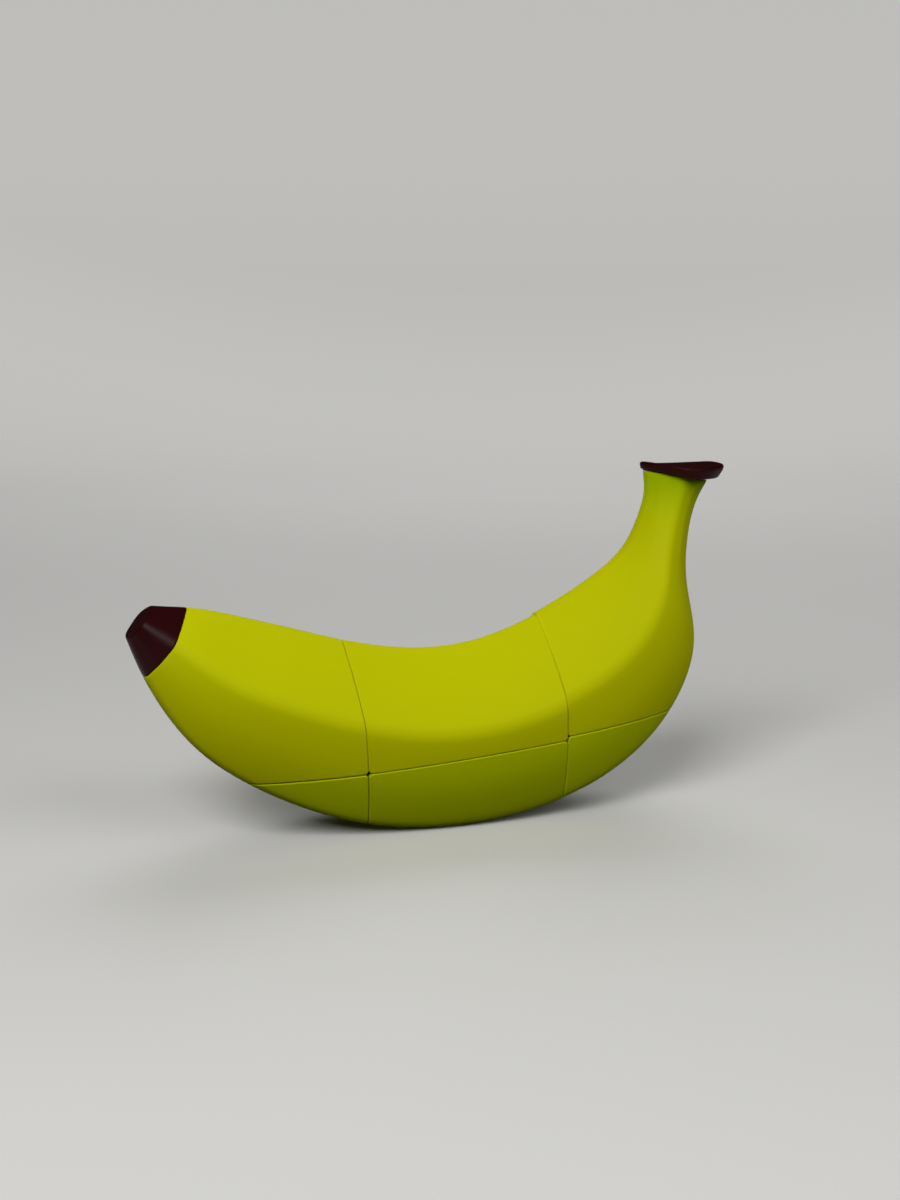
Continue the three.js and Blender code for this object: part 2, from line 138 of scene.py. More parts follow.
class SkinSizes(PropertyGroup):
    seam_gap: size_setting("Seam gap", "Half the gap between two skins", 0.05)
    loose_gap: size_setting("Loose seam", "More gap round the piece under the tip", 0.12)
    edge_radius: size_setting("Edge radius", "Rounding along every seam", 0.35)
    corner_radius: size_setting("Corner radius", "Rounding of a piece's corners in plan", 1.2)
    wall: size_setting("Wall", "Thickness of a skin", 1.7)
    rim_radius: size_setting("Rim radius", "Rounding round the tip's and cap's end faces", 0.6)
    dish: size_setting("Dish", "How far the cap's top face dips in its middle", 0.5)
    stations: IntProperty(name="Stations", description="Rings along the body", default=170, min=20)


class HardwareSizes(PropertyGroup):
    head_radius: size_setting("Head radius", "Half the screw head's width", 1.9)
    head_height: size_setting("Head height", "Height of the screw's domed head", 1.5)
    shank_radius: size_setting("Shank radius", "Half the screw's width over its thread", 0.9)
    thread_pitch: size_setting("Thread pitch", "From one thread to the next", 0.7)
    recess_length: size_setting("Recess length", "Length of the cross in the screw's head", 2.4)
    recess_width: size_setting("Recess width", "Width of the cross's arms", 0.5)
    recess_depth: size_setting("Recess depth", "Depth of the cross", 0.7)
    coil_radius: size_setting("Coil radius", "From the spring's axis to its wire", 1.55)
    wire_radius: size_setting("Wire radius", "Half the spring wire's width", 0.27)
    coil_turns: FloatProperty(name="Turns", description="Turns of each spring", default=4.5, min=1)


class FinishColours(PropertyGroup):
    yellow: colour_setting("Yellow", "The upper skins", "d6da00")
    lower_yellow: colour_setting("Lower yellow", "The lower skins", "cbda00")
    # Painted shade under the stem's cap: the skins turn darker and greener towards the top of the stem.
    cap_shade: colour_setting("Cap shade", "What the skins turn to at the top of the stem", "bcd800")
    maroon: colour_setting("Maroon", "The tip and the stem's cap", "300604")
    black: colour_setting("Black", "Trays and mechanism", "1c1c1e")
    zinc: colour_setting("Zinc", "The screws", "b9bcc0")
    wire: colour_setting("Wire", "The springs", "a4a3a0")
    paper: colour_setting("Paper", "The floor", "f2f1ee")


class StudioLight(PropertyGroup):
    key_power: FloatProperty(name="Key", description="The left soft box", default=4.6, unit="POWER")
    fill_power: FloatProperty(name="Fill", description="The right soft box", default=1.8, unit="POWER")
    back_power: FloatProperty(name="Back", description="The soft box behind", default=2.2, unit="POWER")
    # Painted light: the paper itself glows towards its edge; no lamp stands behind it.
    paper_glow: FloatProperty(name="Glow", description="Light through the paper", default=0.45, min=0)
    sky: FloatProperty(name="Sky", description="Strength of the even light", default=0.015, min=0)


class PuzzleSettings(PropertyGroup):
    skin: PointerProperty(type=SkinSizes)
    hardware: PointerProperty(type=HardwareSizes)
    colours: PointerProperty(type=FinishColours)
    light: PointerProperty(type=StudioLight)


# The body's surface ---------


def turning_frame(joint):
    """The mechanism's frame: X along the turning axis, Y to the back, its origin the ball's centre."""
    along, back = Vector(joint["axis"]), Vector((0, 1, 0))
    turned = Matrix((along, back, along.cross(back))).transposed().to_4x4()
    return Matrix.Translation(joint["pos_m"]) @ turned


MECHANISM = turning_frame(frame["joints"][0])
STEM_LAYER = MECHANISM @ Matrix.Rotation(math.radians(STEM_LAYER_TURN), 4, "X")
PLACES = {"left": MECHANISM, "middle": MECHANISM, "right": STEM_LAYER}


def to_mechanism(points):
    """Points in millimetres in the puzzle's frame, as metres in the mechanism's."""
    back = np.array(MECHANISM.inverted())
    return points * MM @ back[:3, :3].T + back[:3, 3]


def knots_of(sections):
    """Each section's distance along the line through the sections' middles."""
    rows = np.array(sections)
    steps = np.diff((rows[:, 0:2] + rows[:, 2:4]) / 2, axis=0)
    return np.concatenate([[0], np.cumsum(np.linalg.norm(steps, axis=1))])


def spline_through(sections):
    """A natural cubic spline through the sections, as a function of the distance along them."""
    rows, knots = np.array(sections), knots_of(sections)
    steps = np.diff(knots)
    slopes = np.diff(rows, axis=0) / steps[:, None]
    system, change = np.eye(len(knots)), np.zeros_like(rows)
    for i in range(1, len(knots) - 1):
        system[i, i - 1 : i + 2] = steps[i - 1], 2 * (steps[i - 1] + steps[i]), steps[i]
        change[i] = 6 * (slopes[i] - slopes[i - 1])
    bends = np.linalg.solve(system, change)

    def at(distance):
        i = int(np.clip(np.searchsorted(knots, distance) - 1, 0, len(steps) - 1))
        far = (distance - knots[i]) / steps[i]
        near = 1 - far
        curve = (near**3 - near) * bends[i] + (far**3 - far) * bends[i + 1]
        return near * rows[i] + far * rows[i + 1] + curve * steps[i] ** 2 / 6

    return at


def curve_weights(ridge_steps, facet_steps):
    """Weights that turn the controls round a section into points of a smooth closed curve.

    Each control has a quadratic Bezier curve of its own, which runs between the middles of the lines
    from the control to its neighbours.
    """
    count = CONTROLS_PER_FACET * len(FACET_BULGES)
    rows = []
    for i in range(count):
        steps = facet_steps if i % CONTROLS_PER_FACET else ridge_steps
        for t in np.arange(steps) / steps:
            row = np.zeros(count)
            row[i - 1] += (1 - t) ** 2 / 2
            row[i] += (1 - t) ** 2 / 2 + 2 * t * (1 - t) + t**2 / 2
            row[(i + 1) % count] += t**2 / 2
            rows.append(row)
    return np.array(rows)


WEIGHTS = curve_weights(RIDGE_STEPS, FACET_STEPS)


def outline(section):
    """A section's outline: a pentagon with soft ridges on top, at both sides and under the belly."""
    top, belly, half_width, side_share = section[0:2], section[2:4], section[4], section[5]
    height = np.linalg.norm(belly - top)
    ridges = np.array(
        [
            (0, 0),
            (half_width, side_share * height),
            (BELLY_SHARE * half_width, height),
            (-BELLY_SHARE * half_width, height),
            (-half_width, side_share * height),
        ]
    )
    facets = np.roll(ridges, -1, axis=0) - ridges
    outward = np.stack([facets[:, 1], -facets[:, 0]], axis=1) * FACET_BULGES[:, None]
    reach = np.minimum(2 * RIDGE_SOFTNESS / np.linalg.norm(facets, axis=1, keepdims=True), MOST_REACH)
    shares = [0 * reach, reach, 0 * reach + 0.5, 1 - reach]
    controls = [ridges + share * facets + 4 * share * (1 - share) * outward for share in shares]
    across, down = (WEIGHTS @ np.stack(controls, axis=1).reshape(-1, 2)).T
    downward = (belly - top) / height
    ahead = np.array([-downward[1], downward[0]])
    spine = top + np.outer(down, downward) + np.outer(section[6] * (across / half_width) ** 2, ahead)
    return np.stack([spine[:, 0], across, spine[:, 1]], axis=1)


def loft(sections, profile):
    """Rings of points along the sections. A profile's rows are distances along them, and insets."""
    at = spline_through(sections)
    rings = []
    for distance, inset in profile:
        ring = outline(at(distance))
        along = outline(at(distance + SLOPE_STEP)) - outline(at(distance - SLOPE_STEP))
        outward = np.cross(along, np.roll(ring, -1, axis=0) - np.roll(ring, 1, axis=0))
        outward /= np.linalg.norm(outward, axis=1, keepdims=True)
        rings.append(ring - inset * outward)
    return rings


def rounding(corner, before, after, steps=4):
    """A profile's corner, rounded between a point before it and a point after it."""
    corner, before, after = np.array(corner), np.array(before), np.array(after)
    shares = np.arange(steps + 1)[:, None] / steps
    return (1 - shares) ** 2 * before + 2 * shares * (1 - shares) * corner + shares**2 * after


def face_rings(rim, dish, shrink=(0.93, 0.84, 0.7, 0.52, 0.32, 0.12)):
    """Rings that close a flat end from its rim inwards, and sink towards the middle by the dish."""
    middle = rim.mean(axis=0)
    return [middle + (rim - middle) * share + dish * (1 - share**2) for share in shrink]


# Cutting the surface --------


def surface_through(rings, closed=False):
    """A mesh through the rings, in the mechanism's frame. A closed one ends in a pole on either side.

    Each vertex has a station: the number of its ring, which stays true where new edges are cut in.
    """
    mesh = bmesh.new()
    stations = mesh.verts.layers.float.new("station")
    grid = [[mesh.verts.new(point) for point in to_mechanism(ring)] for ring in rings]
    for number, ring in enumerate(grid):
        for vertex in ring:
            vertex[stations] = number
    count = len(grid[0])
    for here, ahead in zip(grid, grid[1:]):
        for j in range(count):
            k = (j + 1) % count
            mesh.faces.new((here[j], ahead[j], ahead[k], here[k]))
    if closed:
        first, last = [
            mesh.verts.new(to_mechanism(ring.mean(axis=0)[None])[0]) for ring in (rings[0], rings[-1])
        ]
        for j in range(count):
            k = (j + 1) % count
            mesh.faces.new((first, grid[0][j], grid[0][k]))
            mesh.faces.new((grid[-1][j], last, grid[-1][k]))
    return mesh


def score(mesh, walls, depths):
    """Cuts new edges into the mesh at each depth inside each wall, without parting it."""
    for *normal, offset in walls:
        for depth in depths:
            bmesh.ops.bisect_plane(
                mesh,
                geom=[*mesh.verts, *mesh.edges, *mesh.faces],
                dist=CUT_TOLERANCE * MM,
                plane_co=Vector(normal) * (offset + depth),
                plane_no=normal,
            )


def edge_depths(sizes):
    """Where the rounding of a piece's edge needs edges, as distances from its seam."""
    return [sizes.edge_radius * (1 - math.cos(math.radians(turn))) for turn in (0, 22.5, 45, 67.5, 90)]


def seam_depths(sizes):
    """Where the rounding of its edges and of its corners need edges."""
    return [*edge_depths(sizes), *np.linspace(sizes.edge_radius, sizes.corner_radius, 4)[1:]]


def seam_walls(layer, level, side, gap):
    """The planes that bound a piece in the mechanism's frame: a unit normal into it, and an offset."""
    cut = LAYER_CUT * MM
    across = {
        "left": [(-1, 0, 0, cut)],
        "middle": [(1, 0, 0, -cut), (-1, 0, 0, -cut)],
        "right": [(1, 0, 0, cut)],
    }
    walls = [*across[layer], (0, side, 0, 0), (0, 0, level, 0)]
    return [(*normal, offset + gap) for *normal, offset in walls]


def along_body(section):
    """The direction of the body at a section, in the mechanism's frame."""
    top, belly = np.array(section[0:2]), np.array(section[2:4])
    down = (belly - top) / np.linalg.norm(belly - top)
    start, ahead = to_mechanism(np.array([(0, 0, 0), (-down[1], 0, down[0])]))
    return (ahead - start) / MM


class Surface:
    """A scored surface as plain arrays."""

    def __init__(self, mesh):
        mesh.normal_update()
        mesh.verts.index_update()
        stations = mesh.verts.layers.float["station"]
        self.points = np.array([vertex.co for vertex in mesh.verts])
        self.normals = np.array([vertex.normal for vertex in mesh.verts])
        self.stations = np.array([vertex[stations] for vertex in mesh.verts])
        self.faces = [[vertex.index for vertex in face.verts] for face in mesh.faces]
        self.centres = np.array([face.calc_center_median() for face in mesh.faces])
        mesh.free()


def depths_inside(points, walls):
    """How far each point lies inside each wall."""
    walls = np.array(walls)
    return points @ walls[:, :3].T - walls[:, 3]


def borders(faces):
    """The edges that only one of the faces has, each as the pair of vertices in that face's order."""
    pairs = {(a, b) for face in faces for a, b in zip(face, face[1:] + face[:1])}
    return [(a, b) for a, b in pairs if (b, a) not in pairs]


def loops(edges):
    """Border edges joined end to end, against the order of the faces that they belong to."""
    following = {b: a for a, b in edges}
    while following:
        start, loop = next(iter(following)), []
        while start in following:
            loop.append(start)
            start = following.pop(start)
        yield loop


def piece_mesh(surface, seams, end, sizes, hollow):
    """The part of a surface inside all its seams, rounded along them and its end, as points and faces.

    The end is a wall's normal and how far each of the surface's vertices lies inside it, or None. A
    hollow piece is a shell of the skin's wall. A solid one is closed by a flat face along its seam.
    """
    inside = (depths_inside(surface.centres, seams) > 0).all(axis=1)
    kept = [surface.faces[i] for i in np.flatnonzero(inside)]
    used = np.unique(np.concatenate(kept))
    number = {old: new for new, old in enumerate(used.tolist())}
    faces = [[number[i] for i in face] for face in kept]
    points, normals = surface.points[used], surface.normals[used]
    depths = np.clip(depths_inside(points, seams), 0, None)

    # A square corner is drawn into a round one: lines along its sides become arcs about one centre.
    reach = np.clip(sizes.corner_radius - depths[:, : len(seams)], 0, None)
    radial = np.linalg.norm(reach, axis=1)
    drawn = 1 - reach.max(axis=1) / np.where(radial > 0, radial, 1)
    drawn[radial == 0] = 0
    slide = (reach * drawn[:, None]) @ np.array(seams)[:, :3]
    points = points + slide - (slide * normals).sum(axis=1, keepdims=True) * normals

    # Near a wall, the way into the skin runs along the wall.
    directions = [wall[:3] for wall in seams]
    if end:
        directions.append(end[0])
        depths = np.column_stack([depths, end[1][used]])
    inward = -normals
    for depth, direction in zip(depths.T, np.array(directions)):
        near = np.clip(1 - depth / sizes.corner_radius, 0, 1)
        inward = inward - (near * (inward @ direction))[:, None] * direction
    inward /= np.linalg.norm(inward, axis=1, keepdims=True)
    lean = np.clip(1 - depths.min(axis=1) / sizes.edge_radius, 0, 1)
    drop = sizes.edge_radius * (1 - np.sqrt(1 - lean**2))
    outer = points + inward * drop[:, None]
    edges = borders(faces)
    if not hollow:
        return outer, faces + list(loops(edges))
    count = len(points)
    inner = points + inward * sizes.wall
    lining = [[i + count for i in reversed(face)] for face in faces]
    rim = [[b, a, a + count, b + count] for a, b in edges]
    return np.concatenate([outer, inner]), faces + lining + rim


def finish_piece(obj, body, nodes):
    """The piece rides on its body in place of its solids, which are hidden."""
    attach(obj, body)
    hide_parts(*nodes)


def add_object(name, data):
    """A new object at the origin, in the scene."""
    obj = bpy.data.objects.new(name, data)
    bpy.context.scene.collection.objects.link(obj)
    return obj


def add_piece(name, points, faces, place, material):
    """A smooth mesh object, with its place in its mesh and its square edges kept sharp."""
    mesh = bpy.data.meshes.new(name)
    mesh.from_pydata(points.tolist(), [], faces)
    mesh.transform(place)
    mesh.materials.append(material)
    mesh.shade_smooth()
    mesh.set_sharp_from_angle(angle=math.radians(SMOOTH_UP_TO))
    return add_object(name, mesh)


# Materials ------------------


CLOUD_WIDTH = 22  # of the clouds that the melt leaves in a moulding as it flows
SHEEN_WIDTH = 6  # of the patches in which a moulding's sheen changes
SHEEN_CHANGE = 0.03  # how far its roughness goes up and down there
CAP_SHADE_FROM, CAP_SHADE_TO = 78, 98  # the heights on the stem over which the painted shade under the cap comes in, darker and greener
MARK_WIDTH = 0.4  # of the marks in steel, wider than the real 0.1 mm to show
MARK_CHANGE = 0.1  # how far its roughness goes up and down there
FIBRE_WIDTH = 1.5  # of the paper's unevenness, wider than its fibres to show


def add(tree, kind, settings=(), inputs=()):
    """Adds a node with its settings. An input takes a value, or the socket that feeds it."""
    node = tree.nodes.new(kind)
    for name, value in dict(settings).items():
        setattr(node, name, value)
    for name, value in dict(inputs).items():
        if isinstance(value, bpy.types.NodeSocket):
            tree.links.new(value, node.inputs[name])
        else:
            node.inputs[name].default_value = value
    return node


def new_material(name):
    """An empty material, its node tree, and the socket that gives a point's place."""
    material = bpy.data.materials.new(name)
    material.use_nodes = True
    tree = material.node_tree
    tree.nodes.clear()
    return material, tree, add(tree, "ShaderNodeTexCoord").outputs["Object"]


def lay_surface(tree, inputs, pattern, strength, depth):
    """Ends a material with its surface, which the pattern raises by up to the depth, in millimetres."""
    relief = {"Height": pattern, "Strength": strength, "Distance": depth * MM}
    bump = add(tree, "ShaderNodeBump", inputs=relief)
    inputs = {**inputs, "Normal": bump.outputs["Normal"]}
    shader = add(tree, "ShaderNodeBsdfPrincipled", inputs=inputs)
    add(tree, "ShaderNodeOutputMaterial", inputs={"Surface": shader.outputs["BSDF"]})


def moulded_plastic(name, colour, tint, roughness, grain, specular, cap_shade_colour=None):
    """An injection-moulded plastic: a fine eroded grain, soft flow clouds and a faintly uneven sheen.

    The tint is what the colour shifts to inside the clouds. The specular level is 0.5 for a bare gloss.
    The grain is its pits' width in millimetres. A real one's is near 0.1, and is drawn wider to show.
    A cap shade colour is painted shade under the stem's cap: the plastic turns darker and greener up
    the stem.
    """
    material, tree, place = new_material(name)
    flow = add(
        tree,
        "ShaderNodeTexNoise",
        inputs={"Vector": place, "Scale": 1 / (CLOUD_WIDTH * MM), "Detail": 2, "Roughness": 0.4},
    )
    clouds = add(
        tree,
        "ShaderNodeMix",
        {"data_type": "RGBA"},
        {"Factor": flow.outputs["Fac"], "A": colour, "B": tint},
    )
    base = clouds.outputs["Result"]
    # Painted shade under the stem's cap: the colour turns darker and greener up the stem.
    if cap_shade_colour:
        height = add(tree, "ShaderNodeSeparateXYZ", inputs={0: place})
        cap_shade_rise = add(
            tree,
            "ShaderNodeMapRange",
            {"interpolation_type": "SMOOTHSTEP"},
            {"Value": height.outputs["Z"], "From Min": CAP_SHADE_FROM * MM, "From Max": CAP_SHADE_TO * MM},
        )
        shaded_under_cap = add(
            tree,
            "ShaderNodeMix",
            {"data_type": "RGBA"},
            {"Factor": cap_shade_rise.outputs["Result"], "A": base, "B": cap_shade_colour},
        )
        base = shaded_under_cap.outputs["Result"]
    sheen = add(
        tree,
        "ShaderNodeTexNoise",
        inputs={"Vector": place, "Scale": 1 / (SHEEN_WIDTH * MM), "Detail": 3, "Roughness": 0.5},
    )
    rough = add(
        tree,
        "ShaderNodeMapRange",
        inputs={
            "Value": sheen.outputs["Fac"],
            "From Min": 0.3,
            "From Max": 0.7,
            "To Min": roughness - SHEEN_CHANGE,
            "To Max": roughness + SHEEN_CHANGE,
        },
    )
    pits = add(
        tree, "ShaderNodeTexNoise", inputs={"Vector": place, "Scale": 1 / (grain * MM), "Detail": 2}
    )
    inputs = {
        "Base Color": base,
        "Roughness": rough.outputs["Result"],
        "IOR": 1.53,
        "Specular IOR Level": specular,
    }
    lay_surface(tree, inputs, pits.outputs["Fac"], strength=0.12, depth=0.03)
    return material


def steel(name, colour, roughness, streak):
    """Bright steel with fine marks, stretched by the streak's x, y and z."""
    material, tree, place = new_material(name)
    stretched = add(tree, "ShaderNodeMapping", inputs={"Vector": place, "Scale": streak})
    marks = add(
        tree,
        "ShaderNodeTexNoise",
        inputs={"Vector": stretched.outputs["Vector"], "Scale": 1 / (MARK_WIDTH * MM), "Detail": 3},
    )
    rough = add(
        tree,
        "ShaderNodeMapRange",
        inputs={
            "Value": marks.outputs["Fac"],
            "To Min": roughness - MARK_CHANGE,
            "To Max": roughness + MARK_CHANGE,
        },
    )
    inputs = {"Base Color": colour, "Metallic": 1.0, "Roughness": rough.outputs["Result"]}
    lay_surface(tree, inputs, marks.outputs["Fac"], strength=0.1, depth=0.02)
    return material


def yellow_abs(colours, level):
    """Satin moulded ABS: its eroded grain spreads the light into a broad soft sheen.

    The lower skins are a little greener than the upper ones. Up the stem, under the cap, the colour
    turns darker and greener as painted shade.
    """
    tones = {"top": (colours.yellow, "dadc00"), "bottom": (colours.lower_yellow, "cfdc00")}
    colour, tint = tones[level]
    return moulded_plastic(
        f"Satin yellow ABS, {level}",
        colour,
        linear(tint),
        roughness=0.55,
        grain=0.35,
        specular=0.04,
        cap_shade_colour=colours.cap_shade,
    )


def maroon_abs(colours):
    """Moulded ABS with a closer polish: its ridges and rims catch a narrower, slightly pink light."""
    return moulded_plastic(
        "Maroon ABS", colours.maroon, linear("2f050a"), roughness=0.42, grain=0.3, specular=0.1
    )


def black_nylon(colours):
    """Moulded nylon for what slides: a dark, dry surface with a dull sheen."""
    return moulded_plastic(
        "Black nylon", colours.black, linear("222224"), roughness=0.48, grain=0.4, specular=0.3
    )


def drawn_spring_steel(colours):
    """Wire drawn through a die: a warm grey shine, streaked round its turns."""
    return steel("Drawn spring steel", colours.wire, roughness=0.34, streak=(1, 1, 0.2))


def zinc_plate(colours):
    """Steel with bright zinc on it: a cold, faintly clouded shine that picks out head and thread."""
    return steel("Zinc-plated steel", colours.zinc, roughness=0.3, streak=(1, 1, 1))


# Pieces ---------------------


def make_skins(settings):
    """Twelve yellow skins: three layers, two levels, front and back."""
    sizes = settings.skin
    knots = knots_of(SECTIONS)
    start, stop = knots[TIP_BORDER] + sizes.seam_gap / MM, knots[-1] - sizes.seam_gap / MM
    edge = np.array(edge_depths(sizes)) / MM
    between = np.linspace(start + edge[-1], stop - edge[-1], sizes.stations)[1:-1]
    places = [*(start + edge), *between, *(stop - edge)[::-1]]
    mesh = surface_through(loft(SECTIONS, [(place, 0) for place in places]))

    # The flat spot under the belly that the puzzle stands on.
    up = np.array(MECHANISM.inverted().to_3x3() @ Vector((0, 0, 1)))
    ground = (*up, -MECHANISM.translation.z)
    score(mesh, [ground], [0])
    for vertex in mesh.verts:
        below = depths_inside(np.array(vertex.co), [ground]).min()
        vertex.co += Vector(up) * max(0, -below)

    cells = {}
    for layer in LAYERS:
        for level, up_or_down in LEVELS.items():
            for side, to_or_fro in SIDES.items():
                loose = sizes.loose_gap if (layer, level) == ("left", "bottom") else 0
                gap = sizes.seam_gap + loose
                cells[layer, level, side] = seam_walls(layer, up_or_down, to_or_fro, gap)
    seams = sorted({wall for walls in cells.values() for wall in walls})
    score(mesh, seams, seam_depths(sizes))
    body = Surface(mesh)
    along = np.interp(body.stations, range(len(places)), places)
    ends = {
        "left": (along_body(SECTIONS[TIP_BORDER]), (along - start) * MM),
        "middle": None,
        "right": (-along_body(SECTIONS[-1]), (stop - along) * MM),
    }

    materials = {level: yellow_abs(settings.colours, level) for level in LEVELS}
    for (layer, level, side), walls in cells.items():
        name = f"{layer}_{level}_{side}"
        points, faces = piece_mesh(body, walls, ends[layer], sizes, hollow=True)
        obj = add_piece(f"shell_{name}", points, faces, PLACES[layer], materials[level])
        finish_piece(obj, LAYERS[layer], [f"skin_{name}"])


def make_halves(settings, rings, name, layer):
    """A closed maroon surface, parted lengthwise into a front and a back half."""
    sizes, material = settings.skin, maroon_abs(settings.colours)
    walls = {side: (0, to_or_fro, 0, sizes.seam_gap) for side, to_or_fro in SIDES.items()}
    mesh = surface_through(rings, closed=True)
    score(mesh, walls.values(), edge_depths(sizes))
    whole = Surface(mesh)
    for side, wall in walls.items():
        points, faces = piece_mesh(whole, [wall], None, sizes, hollow=False)
        obj = add_piece(f"{name}_shell_{side}", points, faces, PLACES[layer], material)
        finish_piece(obj, LAYERS[layer], [f"{name}_{side}"])


def make_tip(settings):
    """The dark tip: a small rounded end face, a tapering body, and a spigot inside the skins."""
    round_off, edge = settings.skin.rim_radius / MM, settings.skin.edge_radius / MM
    border = knots_of(SECTIONS)[TIP_BORDER] - settings.skin.seam_gap / MM
    profile = [
        *rounding(corner=(0, 0), before=(0, round_off), after=(round_off, 0)),
        *[(place, 0) for place in np.linspace(round_off, border - edge, TIP_RINGS + 2)[1:-1]],
        *rounding(corner=(border, 0), before=(border - edge, 0), after=(border, edge)),
        (border, HOLLOW_DEPTH),
        (border + SPIGOT_LENGTH, HOLLOW_DEPTH),
    ]
    rings = loft(SECTIONS, profile)
    end_face = face_rings(rings[0], np.zeros(3))
    root_face = face_rings(rings[-1], np.zeros(3), shrink=ROOT_SHRINK)
    make_halves(settings, [*reversed(end_face), *rings, *root_face], "tip", "left")


def make_stem_cap(settings):
    """The dark plate on the stem: it flares out to a rounded rim round a shallow dish."""
    round_off, seam = settings.skin.rim_radius / MM, settings.skin.seam_gap / MM
    stem_end = knots_of(SECTIONS)[-1]
    sections = [SECTIONS[-1], *CAP_SECTIONS]
    top = knots_of(sections)[-1]
    plugged = (stem_end - SPIGOT_LENGTH, stem_end + GLUE_GAP)
    spigot = loft(SECTIONS, [(place, HOLLOW_DEPTH) for place in plugged])
    profile = [
        *[(place, 0) for place in np.linspace(seam, top - round_off, CAP_RINGS + 1)[:-1]],
        *rounding(corner=(top, 0), before=(top - round_off, 0), after=(top, round_off)),
    ]
    plate = loft(sections, profile)
    rim = plate[-1]
    down = np.cross(rim[0] - rim[len(rim) // 2], (0, 1, 0))
    down *= -np.sign(down[2]) * settings.skin.dish / MM / np.linalg.norm(down)
    root_face = face_rings(spigot[0], np.zeros(3), shrink=ROOT_SHRINK)
    rings = [*reversed(root_face), *spigot, *plate, *face_rings(rim, down)]
    make_halves(settings, rings, "stem_cap", "right")


def dress_mechanism(settings):
    """Trays, hidden edges, centres and the core keep their solids and get the black nylon."""
    material = black_nylon(settings.colours)
    for name, node in frame["nodes"].items():
        if name.startswith(("tray_", "edge_", "centre_", "core")):
            node.data.materials.clear()
            node.data.materials.append(material)


# Screws and springs ---------

# What the solids fix along each arm of the core, from the ball's centre.
SHANK_START = 1.4 * MM
HEAD_START = 11.2 * MM
SPRING_SEAT = 6.8 * MM
END_TURN = 0.62 * MM  # from a spring's seat to the middle of its end turn
CLOSING = 0.55  # how much closer a spring's turns are wound at both ends
# What follows from a screw's sizes: each is a share of one of them.
SCREW_SHARES = {
    "root radius": ("Shank Radius", 0.82),
    "thread radius": ("Shank Radius", 0.2),
    "threaded length": ("Shank Length", 0.9),
    "half shank": ("Shank Length", 0.5),
    "half head": ("Head Height", 0.5),
    "dome drop": ("Head Height", -0.45),
    "bar height": ("Recess Depth", 2.0),
}
DOME_POWER = 3.0  # how late the dome falls off towards its rim
SCREW_SMOOTH_UP_TO = 35  # degrees past which a screw's edge stays sharp
ARMS = {
    "right": (1, 0, 0),
    "left": (-1, 0, 0),
    "back": (0, 1, 0),
    "front": (0, -1, 0),
    "top": (0, 0, 1),
    "bottom": (0, 0, -1),
}


def sized_tree(name, sizes):
    """A geometry tree with a named input for each size, and the sockets that give them."""
    tree = bpy.data.node_groups.new(name, "GeometryNodeTree")
    tree.interface.new_socket("Geometry", in_out="OUTPUT", socket_type="NodeSocketGeometry")
    kinds = {"Geometry": "Geometry", **dict.fromkeys(sizes, "Float"), "Material": "Material"}
    for each, kind in kinds.items():
        tree.interface.new_socket(each, in_out="INPUT", socket_type=f"NodeSocket{kind}")
    return tree, add(tree, "NodeGroupInput").outputs


def on_every_arm(tree, given, instance):
    """Stands a copy on each of the tree's points, its Z away from the origin, and ends the tree."""
    outward = add(
        tree,
        "FunctionNodeAlignEulerToVector",
        {"axis": "Z"},
        {"Vector": add(tree, "GeometryNodeInputPosition").outputs[0]},
    )
    copies = add(
        tree,
        "GeometryNodeInstanceOnPoints",
        inputs={"Points": given["Geometry"], "Instance": instance, "Rotation": outward.outputs[0]},
    )
    real = add(tree, "GeometryNodeRealizeInstances", inputs={"Geometry": copies.outputs[0]})
    smooth = add(tree, "GeometryNodeSetShadeSmooth", inputs={"Geometry": real.outputs[0]})
    painted = add(
        tree,
        "GeometryNodeSetMaterial",
        inputs={"Geometry": smooth.outputs[0], "Material": given["Material"]},
    )
    add(tree, "NodeGroupOutput", inputs={"Geometry": painted.outputs[0]})


def spring_tree(sizes):
    """A compression spring: wire wound at an even pitch, and closer at both ends."""
    tree, given = sized_tree("Compression spring", sizes)
    coil = add(
        tree,
        "GeometryNodeCurveSpiral",
        inputs={
            "Resolution": 24,
            "Rotations": given["Turns"],
            "Start Radius": given["Coil Radius"],
            "End Radius": given["Coil Radius"],
            "Height": 0.0,
        },
    )
    along = add(tree, "GeometryNodeSplineParameter").outputs["Factor"]
    eased = add(tree, "ShaderNodeMapRange", {"interpolation_type": "SMOOTHSTEP"}, {"Value": along})
    share = add(
        tree, "ShaderNodeMix", inputs={"Factor": CLOSING, "A": along, "B": eased.outputs["Result"]}
    )
    height = add(
        tree,
        "ShaderNodeMath",
        {"operation": "MULTIPLY"},
        {0: share.outputs["Result"], 1: given["Length"]},
    )
    lift = add(tree, "ShaderNodeCombineXYZ", inputs={"Z": height.outputs[0]})
    wound = add(
        tree,
        "GeometryNodeSetPosition",
        inputs={"Geometry": coil.outputs["Curve"], "Offset": lift.outputs[0]},
    )
    section = add(
        tree,
        "GeometryNodeCurvePrimitiveCircle",
        inputs={"Resolution": 10, "Radius": given["Wire Radius"]},
    )
    wire = add(
        tree,
        "GeometryNodeCurveToMesh",
        inputs={"Curve": wound.outputs[0], "Profile Curve": section.outputs[0], "Fill Caps": True},
    )
    on_every_arm(tree, given, wire.outputs[0])
    return tree


